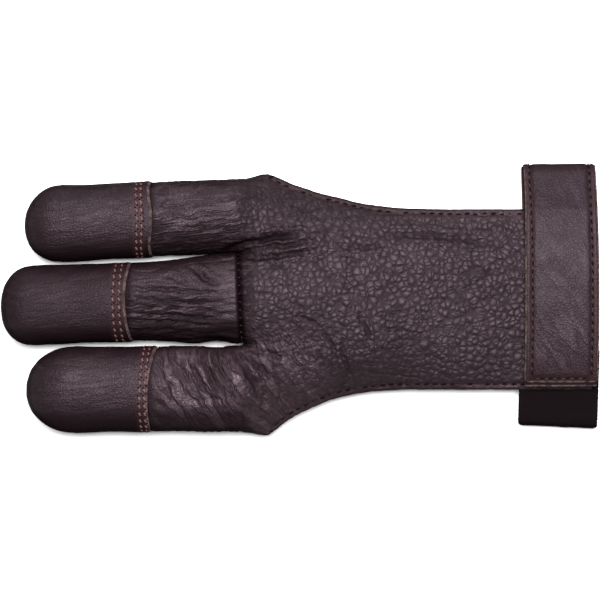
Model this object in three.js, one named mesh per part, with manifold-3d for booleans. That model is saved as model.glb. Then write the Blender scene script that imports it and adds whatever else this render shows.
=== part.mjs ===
import * as THREE from "three";
import Module from "manifold-3d";

// A three-finger archery glove for the right hand, lying palm down with its wrist loop fastened.
// One piece of grained leather covers the back of the hand and wraps the ring and index fingers.
// A sleeve for the middle finger is sewn to it, and a smooth leather cap covers each fingertip.
// A leather strap and an elastic band make the loop round the wrist. The palm side is open.
// X runs from the fingertips to the wrist, Y from the index finger to the ring finger, and Z up.
// The seam at the root of the middle finger is at X = 0 until the whole glove is centred.
// All lengths are in millimetres.

// Thickness of each material, and the gap kept between neighbouring pieces
const backLeather = 1.2;
const capLeather = 1.5;
const capEdgeLeather = 1; // where it is pared thin along its cut edge
const strapLeather = 1.6;
const elasticThickness = 1.4;
const tapeThickness = 1.6;
const seamGap = 0.3;

// The fingers. Widths are at the root and round the cap, and lengths run from the root seam.
const fingers = {
  ring: { rootWidth: 23.7, capWidth: 24.5, height: 18.6, reach: 68.6, capEdge: 28.1, tipLength: 11.6 },
  middle: { rootWidth: 29, capWidth: 25.4, height: 19.2, reach: 75.8, capEdge: 35.3, tipLength: 9.8 },
  index: { rootWidth: 28, capWidth: 27.5, height: 20.2, reach: 68, capEdge: 28.2, tipLength: 15.5 },
};
const middleLean = -1.9; // how far the middle fingertip lies towards the index finger
const capSpacing = 0.9; // free space between neighbouring caps
const tuckLength = 8; // how far a sleeve runs on inside its cap
const edgeStep = 0.3; // how far a cap's cut edge stands proud of the sleeve
const edgeShadow = 2.6; // length over which the sleeve swells out again beside that edge
const sleeveFloor = 0.5; // height of the sleeves' underside over the table at the root
const middlePalmReach = 3; // how far the middle sleeve's palm side runs past the seam

// The back of the hand
const panelLength = 113; // from the finger seam to the end under the strap
const wristWidth = 57.4;
const wristCrown = 11.5; // height of the panel's top at the wrist, in the middle
const wristEdge = 9; // and at its two edges
const cornerReach = 9.5; // from the finger seam to the corners where the free edges begin
const cornerFlare = 1.2; // how far the corners stand out past the fingers' sides
const cornerHeight = 7.5;
const sweepLength = 60; // length over which the edges sweep in from the corners
const valleyLength = 20; // length over which the hollows between the knuckles fade
const crownEase = 1.5; // how late the back's top falls towards the wrist: 1 is a straight fall

// The wrist loop
const strapWidth = 23.8;
const elasticWidth = 25;
const strapOverhang = 14.6; // from the panel's edge to the fold on the ring finger's side
const elasticOverhang = 11.9; // from the panel's edge to the fold on the index finger's side
const elasticSlant = 1.3; // how much further that fold stands out at the wrist than at the hand
const strapFold = 9.4; // height of the strap's fold
const strapEndInset = 0.6; // from the panel's edge to the strap's free end
const strapBow = 1.1; // how far the strap's middle bends towards the wrist
const strapCorner = 2.4; // radius of the free end's corners
const strapPalmLength = 34; // leather on the palm side, from the fold
const bandOverlap = 12; // elastic sewn over that leather, and under the panel
const bandStepDown = 7; // length over which the elastic comes down to the table
const tapeMargin = 3.2; // from the strap's edges to the fastening tape

// How round each form is: 2 is an ellipse, and more is squarer
const backRoundness = 2.15;
const palmRoundness = 2.7;
const tipRoundness = 2.1;
const archRoundness = 2.5;

const ringSteps = 24; // points round a finger
const halfSteps = ringSteps / 2;
const stepAngle = (2 * Math.PI) / ringSteps;

const { lerp, clamp, smoothstep } = THREE.MathUtils;
const range = (count) => Array.from({ length: count }, (_, i) => i);
const power = (value, roundness) => Math.sign(value) * Math.abs(value) ** (2 / roundness);

// Each finger's middle line: side by side at the roots, and a free space apart at the caps
const { ring, middle, index } = fingers;
middle.rootY = 0;
middle.tipY = middleLean;
ring.rootY = (middle.rootWidth + ring.rootWidth) / 2 + seamGap;
index.rootY = -(middle.rootWidth + index.rootWidth) / 2 - seamGap;
ring.tipY = middle.tipY + (middle.capWidth + ring.capWidth) / 2 + capSpacing;
index.tipY = middle.tipY - (middle.capWidth + index.capWidth) / 2 - capSpacing;

const lineY = (finger, x) => lerp(finger.rootY, finger.tipY, clamp(-x / finger.reach, 0, 1));

// A point round a finger's section at an angle from the ring finger's side over the top
function sectionPoint(x, y, size, angle, inset) {
  const widest = size.floor + size.height / 2;
  const up = Math.sin(angle) > 0;
  const roundness = up ? backRoundness : palmRoundness;
  const reach = up ? size.floor + size.height - inset - widest : widest - size.floor - inset;
  return new THREE.Vector3(
    x,
    y + (size.width / 2 - inset) * power(Math.cos(angle), roundness),
    widest + reach * power(Math.sin(angle), roundness),
  );
}

// The thickness of a cap's leather, pared thin over the length that holds the sleeve
const capWallAt = (finger, x) =>
  lerp(capEdgeLeather, capLeather, clamp((-x - finger.capEdge) / tuckLength, 0, 1));

// A sleeve's width, height and floor, swelling from the root and tucked in under its cap
function sleeveSize(finger, x) {
  const along = smoothstep(-x / finger.capEdge, 0, 1);
  const shadowStart = finger.capEdge - edgeShadow;
  const tucked = smoothstep(-x, shadowStart, finger.capEdge - seamGap);
  const outside = lerp(0, edgeStep, along);
  const inset = lerp(outside, capWallAt(finger, x) + seamGap, tucked);
  const floor = lerp(sleeveFloor, 0, along) + inset;
  return {
    width: lerp(finger.rootWidth, finger.capWidth, along) - 2 * inset,
    height: finger.height - floor - inset,
    floor,
  };
}

function sleevePoint(finger, x, angle, inset) {
  return sectionPoint(x, lineY(finger, x), sleeveSize(finger, x), angle, inset);
}

// A closed wall from a sheet of triangles, with an outer and an inner point for each corner
function wall({ outer, inner, triangles }) {
  const count = outer.length;
  const indices = [];
  const edges = new Set();
  for (const [a, b, c] of triangles) {
    indices.push(a, b, c, count + a, count + c, count + b);
    for (const [from, to] of [[a, b], [b, c], [c, a]]) edges.add(`${from} ${to}`);
  }
  for (const edge of edges) {
    const [from, to] = edge.split(" ").map(Number);
    if (edges.has(`${to} ${from}`)) continue;
    indices.push(to, from, count + from, to, count + from, count + to);
  }
  const used = [...new Set(indices)];
  const place = new Map(used.map((old, now) => [old, now]));
  const points = [...outer, ...inner];
  return {
    positions: new Float32Array(used.flatMap((old) => points[old].toArray())),
    indices: new Uint32Array(indices.map((old) => place.get(old))),
  };
}

// Rows and columns of points as a sheet. Where keep leaves one corner of a cell out, half is made.
function sheet(rows, columns, pointAt, { closed = false, keep = () => true } = {}) {
  const outer = rows.flatMap((row) => columns.map((column) => pointAt(row, column).outer));
  const inner = rows.flatMap((row) => columns.map((column) => pointAt(row, column).inner));
  const triangles = [];
  const last = columns.length - (closed ? 0 : 1);
  for (const i of range(rows.length - 1))
    for (const j of range(last)) {
      const next = (j + 1) % columns.length;
      const cell = [[i, j], [i, next], [i + 1, next], [i + 1, j]];
      const corners = cell.filter(([row, column]) => keep(row, column));
      const [a, b, c, d] = corners.map(([row, column]) => row * columns.length + column);
      if (corners.length > 2) triangles.push([a, b, c]);
      if (corners.length > 3) triangles.push([a, c, d]);
    }
  return { outer, inner, triangles };
}

const ringAngles = range(ringSteps).map((step) => step * stepAngle);

// Where the sections of a sleeve lie, from inside the cap to the root seam
const sleeveShares = [0.8, 0.55, 0.3, 0];
function sleeveRows(finger, root) {
  return [
    -finger.capEdge - tuckLength,
    -finger.capEdge + seamGap,
    -finger.capEdge + edgeShadow / 2,
    -finger.capEdge + edgeShadow,
    ...sleeveShares.map((share) => lerp(root, -finger.capEdge + edgeShadow, share)),
  ];
}

function sleeve(finger) {
  const pointAt = (x, angle) => ({
    outer: sleevePoint(finger, x, angle, 0),
    inner: sleevePoint(finger, x, angle, backLeather),
  });
  return sheet(sleeveRows(finger, 0), ringAngles, pointAt, { closed: true });
}

// The middle finger's sleeve ends short of the seam on top and runs past it on the palm side
function middleSleeve() {
  const root = -seamGap;
  const pointAt = (x, angle) => {
    const palmSide = smoothstep(-Math.sin(angle), 0, 1);
    const lean = smoothstep(x, -middle.capEdge / 2, root) * palmSide;
    const points = [0, backLeather].map((inset) => sleevePoint(middle, x, angle, inset));
    points.forEach((point) => (point.x += lean * middlePalmReach));
    return { outer: points[0], inner: points[1] };
  };
  return sheet(sleeveRows(middle, root), ringAngles, pointAt, { closed: true });
}

// Sections of a cap behind its rounded tip: place as a share of the length up to the sleeve's end
// or of the length round the sleeve, and fullness
const capSections = [
  { straight: 0.3, tuck: 0, fullness: 1.01 },
  { straight: 0.65, tuck: 0, fullness: 1.005 },
  { straight: 1, tuck: 0, fullness: 0.995 },
  { straight: 1, tuck: 0.6, fullness: 1 },
  { straight: 1, tuck: 1, fullness: 1.01 },
];
const tipAngles = [12, 26, 42, 58, 74, 90].map((degrees) => THREE.MathUtils.degToRad(degrees));

function capWall(finger) {
  const tipX = -finger.reach;
  const straight = finger.reach - finger.tipLength - finger.capEdge - tuckLength;
  const widest = finger.height / 2;
  const capPoint = (row, angle, inner) => {
    const inTip = row < tipAngles.length;
    const turn = inTip ? tipAngles[row] : Math.PI / 2;
    const section = capSections[row - tipAngles.length];
    const along = inTip ? 0 : section.straight * straight + section.tuck * tuckLength;
    const size = inTip ? power(Math.sin(turn), tipRoundness) : section.fullness;
    const inset = inner ? capWallAt(finger, tipX + finger.tipLength + along) : 0;
    const x = tipX + inset + (finger.tipLength - inset) * (1 - power(Math.cos(turn), tipRoundness)) + along;
    const width = (finger.capWidth - 2 * inset) * size;
    const top = (finger.height - inset - widest) * size;
    const up = Math.sin(angle) > 0;
    const roundness = up ? backRoundness : palmRoundness;
    const depth = up ? top : (widest - inset) * Math.min(size, 1);
    return new THREE.Vector3(
      x,
      lineY(finger, x) + (width / 2) * power(Math.cos(angle), roundness),
      widest + depth * power(Math.sin(angle), roundness),
    );
  };
  const rows = range(tipAngles.length + capSections.length);
  const made = sheet(
    rows,
    ringAngles,
    (row, angle) => ({ outer: capPoint(row, angle, false), inner: capPoint(row, angle, true) }),
    { closed: true },
  );
  // The tip closes on one point
  const pole = made.outer.length;
  made.outer.push(new THREE.Vector3(tipX, lineY(finger, tipX), widest));
  made.inner.push(new THREE.Vector3(tipX + capLeather, lineY(finger, tipX), widest));
  for (const j of range(ringSteps)) made.triangles.push([pole, (j + 1) % ringSteps, j]);
  return made;
}

// The panel's two free edges: the corner beside the finger, and how fast the edge sweeps in
const edges = {
  ring: { finger: ring, side: 1, sweep: 2.4 },
  index: { finger: index, side: -1, sweep: 3.6 },
};
for (const edge of Object.values(edges)) {
  edge.root = edge.finger.rootY + (edge.side * edge.finger.rootWidth) / 2;
  edge.corner = edge.root + edge.side * cornerFlare;
}

function edgeY(edge, x) {
  const wrist = (edge.side * wristWidth) / 2;
  if (x < cornerReach) return lerp(edge.root, edge.corner, smoothstep(x, 0, cornerReach));
  const left = clamp(1 - (x - cornerReach) / sweepLength, 0, 1);
  return lerp(wrist, edge.corner, left ** edge.sweep);
}

const wristStart = panelLength - strapWidth;
const crownHeight = (x) => lerp(middle.height, wristCrown, clamp(x / wristStart, 0, 1) ** crownEase);
const edgeHeight = (x) => {
  if (x < cornerReach) return lerp(ring.height / 2, cornerHeight, smoothstep(x, 0, cornerReach));
  return lerp(cornerHeight, wristEdge, smoothstep(x, cornerReach, wristStart));
};

// The broad hollows that the leather falls into: shares of the panel's length and half width,
// their reach as shares of the same, and their depth as a share of the knuckles' height
const hollows = [
  { name: "behind the ring knuckle", along: 0.16, across: 0.34, reachX: 0.13, reachY: 0.2, depth: 0.055 },
  { name: "behind the index knuckle", along: 0.13, across: -0.36, reachX: 0.11, reachY: 0.2, depth: 0.06 },
  { name: "over the middle of the hand", along: 0.45, across: 0.05, reachX: 0.16, reachY: 0.45, depth: 0.04 },
];

// How deep the hollows are at a place on the panel, given as its length and its share across
function hollowDepth(x, across) {
  const falls = hollows.map((hollow) => {
    const dx = (x / panelLength - hollow.along) / hollow.reachX;
    const dy = (across - hollow.across) / hollow.reachY;
    return hollow.depth * middle.height * Math.exp(-dx * dx - dy * dy);
  });
  return falls.reduce((sum, fall) => sum + fall, 0);
}

// A point of the smooth arch over the hand, at a share from 1 on the ring side to -1
const slopeShare = 0.01;
function archPoint(x, across, inset) {
  const [ringY, indexY] = [edgeY(edges.ring, x), edgeY(edges.index, x)];
  const [low, high] = [edgeHeight(x), crownHeight(x)];
  const heightAt = (share) => low + (high - low) * (1 - Math.abs(share) ** archRoundness);
  const half = (ringY - indexY) / 2;
  const rise = heightAt(across + slopeShare) - heightAt(across - slopeShare);
  const slope = rise / (2 * slopeShare * half);
  const normal = new THREE.Vector2(-slope, 1).normalize();
  return new THREE.Vector3(
    x,
    (ringY + indexY) / 2 + across * half - normal.x * inset,
    heightAt(across) - hollowDepth(x, across) - normal.y * inset,
  );
}

// Columns of the panel, from under the ring finger over the knuckles to under the index finger
const seamColumns = [
  ...range(ringSteps - 1).map((step) => ({ finger: ring, step: step - halfSteps + 1 })),
  { finger: ring, step: halfSteps },
  ...range(halfSteps - 1).map((step) => ({ finger: middle, step: step + 1 })),
  ...range(ringSteps).map((step) => ({ finger: index, step })),
];

// A point on the finger seam. Between two fingers the wall's inner side is below the hollow.
function seamPoint({ finger, step }, inset) {
  const angle = step * stepAngle;
  if (inset && finger === ring && step === halfSteps)
    return seamPoint({ finger, step }, 0).add(new THREE.Vector3(0, backLeather / 3, -backLeather));
  if (inset && finger === index && step === 0)
    return seamPoint({ finger, step }, 0).add(new THREE.Vector3(0, -backLeather / 3, -backLeather));
  if (finger !== middle) return sleevePoint(finger, 0, angle, inset);
  const size = { ...sleeveSize(middle, 0), width: middle.rootWidth + 2 * seamGap };
  return sectionPoint(0, middle.rootY, size, angle, inset);
}

// How far across the arch each column lies, by its length along the seam over the knuckles
const firstTop = seamColumns.findIndex(({ finger, step }) => finger === ring && step === 0);
const lastTop = seamColumns.findIndex(({ finger, step }) => finger === index && step === halfSteps);
const seamLengths = seamColumns.map((column, j) => {
  if (j <= firstTop) return 0;
  return seamPoint(column, 0).distanceTo(seamPoint(seamColumns[j - 1], 0));
});
const lengthTo = seamLengths.map((_, j) => {
  const upTo = seamLengths.slice(0, Math.min(j, lastTop) + 1);
  return upTo.reduce((sum, length) => sum + length, 0);
});
const acrossOf = lengthTo.map((length) => 1 - (2 * length) / lengthTo[lastTop]);

// The palm opening slants from the crotch to the corner, one column of the ring for each row
const openingRows = range(halfSteps).map((row) => (row * cornerReach) / (halfSteps - 1));
const backShares = [0.07, 0.15, 0.24, 0.34, 0.46, 0.6, 0.78, 1];
const backRows = [
  ...openingRows,
  ...backShares.map((share) => lerp(cornerReach, wristStart, share)),
  panelLength,
];

function panelPoint(x, j, inset) {
  const seam = seamPoint(seamColumns[j], inset);
  const under = j < firstTop || j > lastTop;
  if (under) {
    // Under the fingers the sheet follows their sides out to the corner
    const edge = j < firstTop ? edges.ring : edges.index;
    const share = smoothstep(x, 0, cornerReach);
    const lowered = lerp(1, (2 * cornerHeight) / edge.finger.height, share);
    return new THREE.Vector3(x, seam.y + edge.side * cornerFlare * share, seam.z * lowered);
  }
  const arch = archPoint(x, acrossOf[j], inset);
  const flat = 1 - (1 - clamp(x / valleyLength, 0, 1)) ** 3;
  return new THREE.Vector3(x, lerp(seam.y, arch.y, flat), lerp(seam.z, arch.z, flat));
}

function panel() {
  const underRows = (j) => (j < firstTop ? firstTop - j : j - lastTop);
  const keep = (row, j) => {
    const under = underRows(j);
    if (j >= firstTop && j <= lastTop) return true;
    return row + under < halfSteps;
  };
  return sheet(
    backRows,
    range(seamColumns.length),
    (x, j) => ({ outer: panelPoint(x, j, 0), inner: panelPoint(x, j, backLeather) }),
    { keep },
  );
}

// A band from a line of places in Y and Z, with its thickness on the right of its way along.
// Its rows run from its hand side at -1 to its wrist side at 1.
function band(line, thickness, rowAt) {
  const normals = line.map((_, j) => {
    const before = line[Math.max(j - 1, 0)];
    const after = line[Math.min(j + 1, line.length - 1)];
    const way = new THREE.Vector2().subVectors(after, before).normalize();
    return new THREE.Vector2(way.y, -way.x);
  });
  const pointAt = (share, j) => {
    const { x, aside = 0 } = rowAt(line[j], j, share);
    const deep = line[j].clone().addScaledVector(normals[j], -thickness);
    return {
      outer: new THREE.Vector3(x, line[j].x + aside, line[j].y),
      inner: new THREE.Vector3(x, deep.x + aside, deep.y),
    };
  };
  return sheet([-1, 0, 1], range(line.length), pointAt);
}

const strapMiddle = panelLength + seamGap * 4 - strapWidth / 2;
const strapHalfY = wristWidth / 2 + strapOverhang;
const strapPalmEnd = strapHalfY - strapPalmLength;
const bowAt = (y) => strapBow * (1 - (y / strapHalfY) ** 2);
const panelTop = (y) => archPoint(panelLength, clamp((2 * y) / wristWidth, -1, 1), 0).z;
const strapTop = (y) => panelTop(y) + 2 * seamGap + tapeThickness + strapLeather;
const turnSteps = 8;

// Points round a fold, from below to above, on a side of the loop
function foldPoints(side, foldY, height) {
  const radius = height / 2;
  return range(turnSteps + 1).map((step) => {
    const angle = (step / turnSteps - 0.5) * Math.PI;
    return new THREE.Vector2(foldY - side * radius * (1 - Math.cos(angle)), radius * (1 + Math.sin(angle)));
  });
}

// The strap: from its end on the palm side round the fold and over the back to its free end
function strap() {
  const fold = foldPoints(1, strapHalfY, strapFold);
  const foldTop = fold[turnSteps];
  const freeEnd = -(wristWidth / 2 - strapEndInset);
  const palmRun = [0, 0.33, 0.66].map((share) => new THREE.Vector2(lerp(strapPalmEnd, fold[0].x, share), 0));
  const slope = [0.3, 0.65].map((share) => {
    const y = lerp(foldTop.x, wristWidth / 2, share);
    return new THREE.Vector2(y, lerp(foldTop.y, strapTop(wristWidth / 2), smoothstep(share, 0, 1)));
  });
  const backStops = [1, 0.8, 0.6, 0.4, 0.2, 0, -0.2, -0.4, -0.6, -0.8];
  const back = backStops.map((share) => new THREE.Vector2((share * wristWidth) / 2, 0));
  const cornerStops = [1, 0.62, 0.28, 0.07, 0].map((share) => freeEnd + share * strapCorner);
  const end = cornerStops.map((y) => new THREE.Vector2(y, 0));
  const over = [...back, ...end];
  over.forEach((place) => (place.y = strapTop(place.x)));
  const line = [...palmRun, ...fold, ...slope, ...over];
  return band(line, strapLeather, ({ x: y }, j, share) => {
    const fromEnd = j > line.length - cornerStops.length - 1 ? y - freeEnd : strapCorner;
    const missing = strapCorner - Math.sqrt(strapCorner ** 2 - (strapCorner - fromEnd) ** 2);
    return { x: strapMiddle + bowAt(y) + share * (strapWidth / 2 - missing) };
  });
}

// The elastic: from under the panel round its fold, along the table and up onto the strap's end
function elastic() {
  const foldY = -wristWidth / 2 - elasticOverhang;
  const under = (y) => panelTop(y) - backLeather - seamGap;
  const sewnY = -wristWidth / 2 + bandOverlap;
  const backStops = [0, 0.5, 1].map((share) => lerp(sewnY, -wristWidth / 2, share));
  const back = backStops.map((y) => new THREE.Vector2(y, under(y)));
  const fold = foldPoints(-1, foldY, under(-wristWidth / 2)).reverse();
  const onStrap = strapLeather + seamGap;
  const stepShares = [0, 0.25, 0.5, 0.75, 1];
  const stepUp = stepShares.map((share) => {
    const y = strapPalmEnd - bandStepDown - seamGap + share * bandStepDown;
    return new THREE.Vector2(y, onStrap * smoothstep(share, 0, 1));
  });
  const end = new THREE.Vector2(strapPalmEnd + bandOverlap, onStrap);
  const line = [...back, ...fold, ...stepUp, end];
  const middleX = strapMiddle + (strapWidth - elasticWidth) / 2;
  return band(line, elasticThickness, ({ x: y }, j, share) => {
    const slanted = smoothstep(y, foldY, sewnY) - 1;
    return {
      x: middleX + bowAt(y) + (share * elasticWidth) / 2,
      aside: (slanted * share * elasticSlant) / 2,
    };
  });
}

// The fastening tape between the panel and the strap
function tape() {
  const halfY = wristWidth / 2 - tapeMargin;
  const line = [1, 0.75, 0.5, 0.25, 0, -0.25, -0.5, -0.75, -1].map((share) => {
    const y = share * halfY;
    return new THREE.Vector2(y, panelTop(y) + seamGap + tapeThickness);
  });
  const halfX = strapWidth / 2 - tapeMargin;
  return band(line, tapeThickness, ({ x: y }, j, share) => ({ x: strapMiddle + bowAt(y) + share * halfX }));
}

const wasm = await Module();
wasm.setup();

// Joins closed walls into one solid
function joined(...sheets) {
  const solids = sheets.map((made) => {
    const { positions, indices } = wall(made);
    return new wasm.Manifold(new wasm.Mesh({ numProp: 3, vertProperties: positions, triVerts: indices }));
  });
  const whole = solids.reduce((sum, solid) => sum.add(solid)).getMesh();
  return { positions: whole.vertProperties, indices: whole.triVerts };
}

const materials = {
  grainLeather: new THREE.MeshStandardMaterial({ color: 0x3d3236, roughness: 0.55, metalness: 0 }),
  smoothLeather: new THREE.MeshStandardMaterial({ color: 0x3a2f34, roughness: 0.45, metalness: 0 }),
  strapLeather: new THREE.MeshStandardMaterial({ color: 0x44373c, roughness: 0.5, metalness: 0 }),
  elastic: new THREE.MeshStandardMaterial({ color: 0x161314, roughness: 0.9, metalness: 0 }),
  tape: new THREE.MeshStandardMaterial({ color: 0x1a1718, roughness: 0.95, metalness: 0 }),
};

const glove = new THREE.Group();
function addPiece(name, { positions, indices }, material) {
  const geometry = new THREE.BufferGeometry();
  geometry.setAttribute("position", new THREE.BufferAttribute(new Float32Array(positions), 3));
  geometry.setIndex(new THREE.BufferAttribute(new Uint32Array(indices), 1));
  geometry.computeVertexNormals();
  const mesh = new THREE.Mesh(geometry, material);
  mesh.name = name;
  glove.add(mesh);
}

addPiece("back_panel", joined(panel(), sleeve(ring), sleeve(index)), materials.grainLeather);
addPiece("middle_sleeve", wall(middleSleeve()), materials.grainLeather);
for (const [name, finger] of Object.entries(fingers))
  addPiece(`${name}_cap`, wall(capWall(finger)), materials.smoothLeather);
addPiece("wrist_strap", wall(strap()), materials.strapLeather);
addPiece("elastic_band", wall(elastic()), materials.elastic);
addPiece("fastening_tape", wall(tape()), materials.tape);

// The origin is under the middle of the whole glove, on the table
const bounds = new THREE.Box3().setFromObject(glove);
const centre = bounds.getCenter(new THREE.Vector3());
glove.position.set(-centre.x, -centre.y, -bounds.min.z);

export default glove;
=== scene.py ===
import math
from bisect import bisect_left
import bmesh
import bpy
from mathutils import Matrix, Vector, noise
from mathutils.bvhtree import BVHTree
from mathutils.kdtree import KDTree


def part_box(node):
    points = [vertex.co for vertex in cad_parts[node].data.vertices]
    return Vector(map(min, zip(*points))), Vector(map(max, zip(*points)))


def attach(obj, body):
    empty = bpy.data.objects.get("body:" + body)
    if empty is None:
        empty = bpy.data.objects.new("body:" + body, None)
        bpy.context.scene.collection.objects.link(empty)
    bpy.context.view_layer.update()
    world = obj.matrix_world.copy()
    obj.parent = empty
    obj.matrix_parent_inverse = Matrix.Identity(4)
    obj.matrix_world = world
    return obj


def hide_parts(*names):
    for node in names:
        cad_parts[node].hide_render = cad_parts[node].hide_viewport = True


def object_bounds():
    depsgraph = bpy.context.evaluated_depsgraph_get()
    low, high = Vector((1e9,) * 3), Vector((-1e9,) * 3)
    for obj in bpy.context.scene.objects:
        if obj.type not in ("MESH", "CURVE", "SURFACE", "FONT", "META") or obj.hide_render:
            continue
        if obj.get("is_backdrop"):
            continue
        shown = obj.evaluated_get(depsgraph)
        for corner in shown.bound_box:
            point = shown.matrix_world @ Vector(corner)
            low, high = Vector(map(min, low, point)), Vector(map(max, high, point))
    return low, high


# A three-finger archery glove of dark brown leather, lying palm down with its wrist loop fastened.
# Pieces are shaped in millimetres, from the seam at the root of the middle finger, and then put
# in place in metres. Each starts as a flat pattern, as leather does, and is bent to its shape.

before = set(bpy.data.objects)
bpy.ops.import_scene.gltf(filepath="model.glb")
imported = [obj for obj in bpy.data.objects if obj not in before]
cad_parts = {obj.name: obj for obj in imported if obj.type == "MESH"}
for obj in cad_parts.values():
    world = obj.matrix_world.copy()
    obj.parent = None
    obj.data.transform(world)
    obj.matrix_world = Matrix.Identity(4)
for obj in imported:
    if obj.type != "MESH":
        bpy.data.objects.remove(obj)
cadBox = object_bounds()
mm = 0.001

# Wall thicknesses, and the gap between pieces that are sewn to each other
leather = {"back": 1.2, "cap": 1, "capInside": 1.5, "gap": 0.3}
# Each finger from its root to its tip, and how dull its cap is
fingers = {
    "ring": {
        "rootWidth": 23.7, "capWidth": 24.5, "height": 18.6, "reach": 68.6, "capEdge": 28.1,
        "tipLength": 11.6, "edgeWave": (0.19, -0.32, -0.06, 0.35), "stitchRows": (4.55, 3.05),
        "dullness": 0,
    },
    "middle": {
        "rootWidth": 29, "capWidth": 25.4, "height": 19.2, "reach": 76.2, "capEdge": 35.3,
        "tipLength": 9.8, "edgeWave": (0.24, -0.32, 1.04, 0), "stitchRows": (4.35, 2.35),
        "dullness": 0.25,
    },
    "index": {
        "rootWidth": 28, "capWidth": 27.5, "height": 20.2, "reach": 68, "capEdge": 28.2,
        "tipLength": 15.5, "edgeWave": (0.27, 0.97, 0.96, 0), "stitchRows": (2.9, 1.3),
        "dullness": 0,
    },
}
hand = {
    "middleLean": -2.5,  # how far the middle fingertip lies towards the index finger
    "ringSpacing": 1.0,  # between the ring and middle caps
    "indexSpacing": 0.3,
    "tuckLength": 8,  # how far a sleeve runs on inside its cap
    "edgeStep": 0.5,  # how far below a cap's face its sleeve meets it
    "tuckStart": 0.1,  # how far before a cap's edge its sleeve begins to dip under it
    "tuckEase": 0.5,  # how far past that edge it lies as low as it does inside
    "sideFullness": 0.6,  # how much of that step is missing at the two sides
    "sleeveFloor": 0.5,
    "middlePalmReach": 3,
    "seamLean": 1.1,  # how much nearer the wrist the seam lies beside the index finger
    "seamDepth": 1.6,
    "seamWidth": 0.55,
}
back = {
    "length": 113,
    "wristWidth": 57.4,
    "wristCrown": 11.5,
    "wristEdge": 9,
    "cornerReach": 9.5,  # from the seam to the corners where the free edges begin
    "cornerHeight": 7.5,
    "sweepLength": 60,
    "valleyLength": 20,  # length over which the hollows between the knuckles fade
    "crownEase": 1.5,
    "stitchInset": 1.7,
}
loop = {
    "strapWidth": 23.6,
    "elasticWidth": 25,
    "strapOverhang": 14.6,
    "elasticOverhang": 12.5,
    "elasticShift": 0.5,
    "elasticSlant": 1.3,
    "strapFold": 9.4,
    "strapEndInset": 0.6,
    "strapBow": 0.85,
    "strapCorner": 1.4,
    "strapPalmLength": 34,
    "strapThickness": 1.6,
    "strapBeyond": 1.2,  # how far it reaches beyond the panel
    "bandOverlap": 12,
    "bandStepDown": 7,
    "faceLeather": 0.9,
    "liningLeather": 0.6,
    "tapeThickness": 1.6,
    "elasticThickness": 1.4,
}
# How square the sections are: 2 is an ellipse, and more is squarer
backRoundness, palmRoundness, tipRoundness, archRoundness = 2.15, 2.7, 2.1, 2.5
turn = 24  # pattern columns round a finger
half = turn // 2
fine = 5  # mesh columns in a pattern column


def lerp(first, last, share):
    return first + (last - first) * share


def clamp(value, low=0, high=1):
    return max(low, min(high, value))


def smoothstep(value, low, high):
    share = clamp((value - low) / (high - low))
    return share * share * (3 - 2 * share)


def power(value, roundness):
    return math.copysign(abs(value) ** (2 / roundness), value)


def hill(distance, width):
    return math.exp(-((distance / width) ** 2))


ring, middle, index = fingers["ring"], fingers["middle"], fingers["index"]
middle["rootY"], middle["tipY"] = 0, hand["middleLean"]
ring["rootY"] = (middle["rootWidth"] + ring["rootWidth"]) / 2 + leather["gap"]
index["rootY"] = -(middle["rootWidth"] + index["rootWidth"]) / 2 - leather["gap"]
ring["tipY"] = middle["tipY"] + (middle["capWidth"] + ring["capWidth"]) / 2 + hand["ringSpacing"]
index["tipY"] = middle["tipY"] - (middle["capWidth"] + index["capWidth"]) / 2 - hand["indexSpacing"]

# Where the glove lies in the frame
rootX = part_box("ring_cap")[0].x / mm + ring["reach"]
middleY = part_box("wrist_strap")[1].y / mm - back["wristWidth"] / 2 - loop["strapOverhang"]


def lineY(finger, x):
    return lerp(finger["rootY"], finger["tipY"], clamp(-x / finger["reach"]))


# How far a cap's cut edge wanders along the finger, at an angle round it
def edgeWave(finger, angle):
    steady, side, double, ripple = finger["edgeWave"]
    waves = side * math.cos(angle) + double * math.cos(2 * angle)
    return steady + waves + ripple * math.cos(4 * angle)


def sectionPoint(x, y, size, angle):
    width, height, floor = size
    widest = floor + height / 2
    roundness = backRoundness if math.sin(angle) > 0 else palmRoundness
    across = width / 2 * power(math.cos(angle), roundness)
    return Vector((x, y + across, widest + height / 2 * power(math.sin(angle), roundness)))


def sleevePoint(finger, x, angle):
    along = smoothstep(-x / finger["capEdge"], 0, 1)
    edge = finger["capEdge"] - edgeWave(finger, angle)
    tucked = smoothstep(-x, edge - hand["tuckStart"], edge + hand["tuckEase"])
    wallInside = lerp(leather["cap"], leather["capInside"], clamp((-x - edge) / hand["tuckLength"]))
    inset = lerp(lerp(0, hand["edgeStep"], along), wallInside + leather["gap"], tucked)
    floor = lerp(hand["sleeveFloor"], 0, along) + inset
    width = lerp(finger["rootWidth"], finger["capWidth"], along) - 2 * inset
    width += hand["sideFullness"] * along * (1 - tucked)
    size = (width, finger["height"] - floor - inset, floor)
    return sectionPoint(x, lineY(finger, x), size, angle)


# The panel's free edges: how far the corner beside the finger stands out, how fast the edge
# sweeps in from it, and how far the hem rolls out at the wrist
edges = {
    "ring": {"finger": ring, "side": 1, "flare": 1.8, "sweep": 2.4, "roll": 0},
    "index": {"finger": index, "side": -1, "flare": 1.4, "sweep": 3.6, "roll": 0.65},
}
for edge in edges.values():
    edge["root"] = edge["finger"]["rootY"] + edge["side"] * edge["finger"]["rootWidth"] / 2
    edge["corner"] = edge["root"] + edge["side"] * edge["flare"]


def edgeY(edge, x):
    if x < back["cornerReach"]:
        return lerp(edge["root"], edge["corner"], smoothstep(x, 0, back["cornerReach"]))
    left = clamp(1 - (x - back["cornerReach"]) / back["sweepLength"])
    wrist = edge["side"] * (back["wristWidth"] / 2 + edge["roll"])
    return lerp(wrist, edge["corner"], left ** edge["sweep"])


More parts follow.
